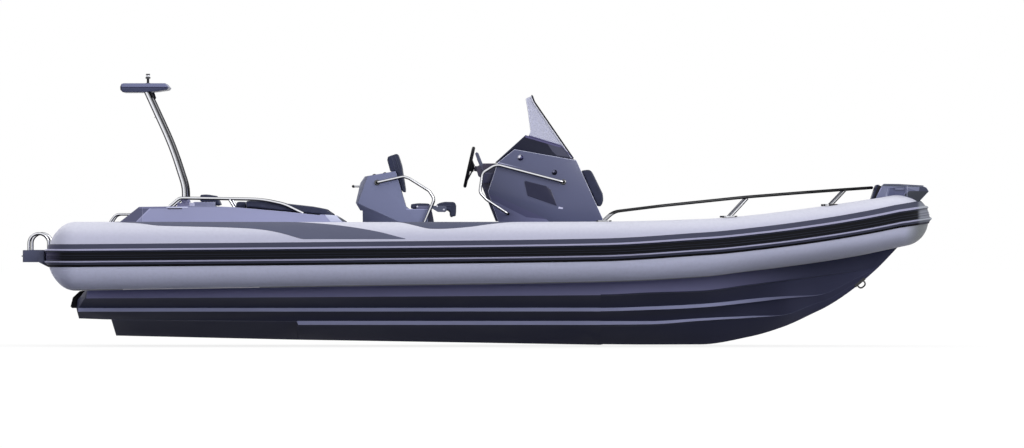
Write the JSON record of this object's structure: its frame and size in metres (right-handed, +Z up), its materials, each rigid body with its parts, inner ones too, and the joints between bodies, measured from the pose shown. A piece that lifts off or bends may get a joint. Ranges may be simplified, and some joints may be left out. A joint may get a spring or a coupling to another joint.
{
  "type": "rigid inflatable boat",
  "caption": "Rigid inflatable boat with a deep V hull, a grey inflatable collar, a centre console with steering wheel, a helm seat, aft bench, folding light arch and bow rails.",
  "frame": {"origin": "on the design waterline, on the centreline, midway between the stern platform's aft face and the bow step's tip", "axes": "+X towards the bow, +Y to port, +Z up"},
  "size_m": [7.5396, 2.9518, 2.253],
  "materials": {
    "collar": "satin coated fabric, light grey",
    "rub_strip": "matt dark grey with paler ridges",
    "hull_gelcoat": "gloss gelcoat, near black with a hint of violet",
    "deck_gelcoat": "semi-gloss gelcoat, blue grey",
    "module_gelcoat": "semi-gloss gelcoat, mid blue grey",
    "console_gelcoat": "semi-gloss gelcoat, dark blue grey",
    "dark_trim": "matt, very dark blue grey",
    "board_paint": "satin gelcoat over a wooden board",
    "deck_pad": "textured dark grey",
    "black_rubber": "matt black",
    "upholstery": "soft vinyl, very dark blue grey",
    "stainless": "polished stainless steel",
    "black_metal": "satin black",
    "smoked_glass": "smoked acrylic with a violet cast",
    "window": "gloss dark window panel",
    "lamp": "clear lens"
  },
  "bodies": {
    "boat": {"tube_port": "collar", "tube_starboard": "collar", "tube_bow": "collar", "rub_rail": "rub_strip", "hull": "hull_gelcoat", "deck_liner": "deck_gelcoat", "bow_seat_module": "deck_gelcoat", "bow_cushions": "upholstery", "transom_board": "board_paint", "swim_platforms": "deck_pad", "stern_pads": "black_rubber", "aft_seat_module": "module_gelcoat", "aft_seat_cushions": "upholstery", "aft_side_pads": "upholstery", "aft_head_pad": "upholstery", "aft_rails": "stainless", "stern_rails": "stainless", "arch_hinge_bases": "stainless", "helm_seat_body": "console_gelcoat", "helm_backrest": "upholstery", "helm_seat_cushion": "upholstery", "bolster_hinge_leaves": "stainless", "seat_rails": "stainless", "console_body": "console_gelcoat", "console_dash": "dark_trim", "windscreen": "smoked_glass", "console_windows": "window", "console_vents": "stainless", "console_rails": "stainless", "steering_pod": "dark_trim", "throttle_control": "black_metal", "front_seat_cushions": "upholstery", "bow_step": "console_gelcoat", "bow_step_tread": "dark_trim", "bow_backrest": "upholstery", "bow_side_lights": "lamp", "pulpit_rails": "stainless", "towing_eyes": "stainless"},
    "arch": {"arch_legs": "stainless", "arch_wing": "console_gelcoat", "arch_light_lens": "lamp", "arch_light_post": "black_metal"},
    "bolster": {"bolster_arms": "stainless", "helm_bolster": "upholstery"},
    "steering_wheel": {"steering_wheel_rim": "black_rubber", "steering_wheel_spokes": "black_metal"}
  },
  "joints": [
    {"name": "steering_wheel_turn", "type": "hinge", "parent": "boat", "child": "steering_wheel", "pos_m": [-0.07, 0, 1.06], "axis": [-0.9751, 0, 0.2215], "range_deg": [-720, 720]},
    {"name": "arch_fold", "type": "hinge", "parent": "boat", "child": "arch", "pos_m": [-2.421, 0, 0.775], "axis": [0, -1, 0], "range_deg": [0, 60]},
    {"name": "bolster_flip", "type": "hinge", "parent": "boat", "child": "bolster", "pos_m": [-0.382, 0, 0.731], "axis": [0, -1, 0], "range_deg": [0, 90]}
  ]
}
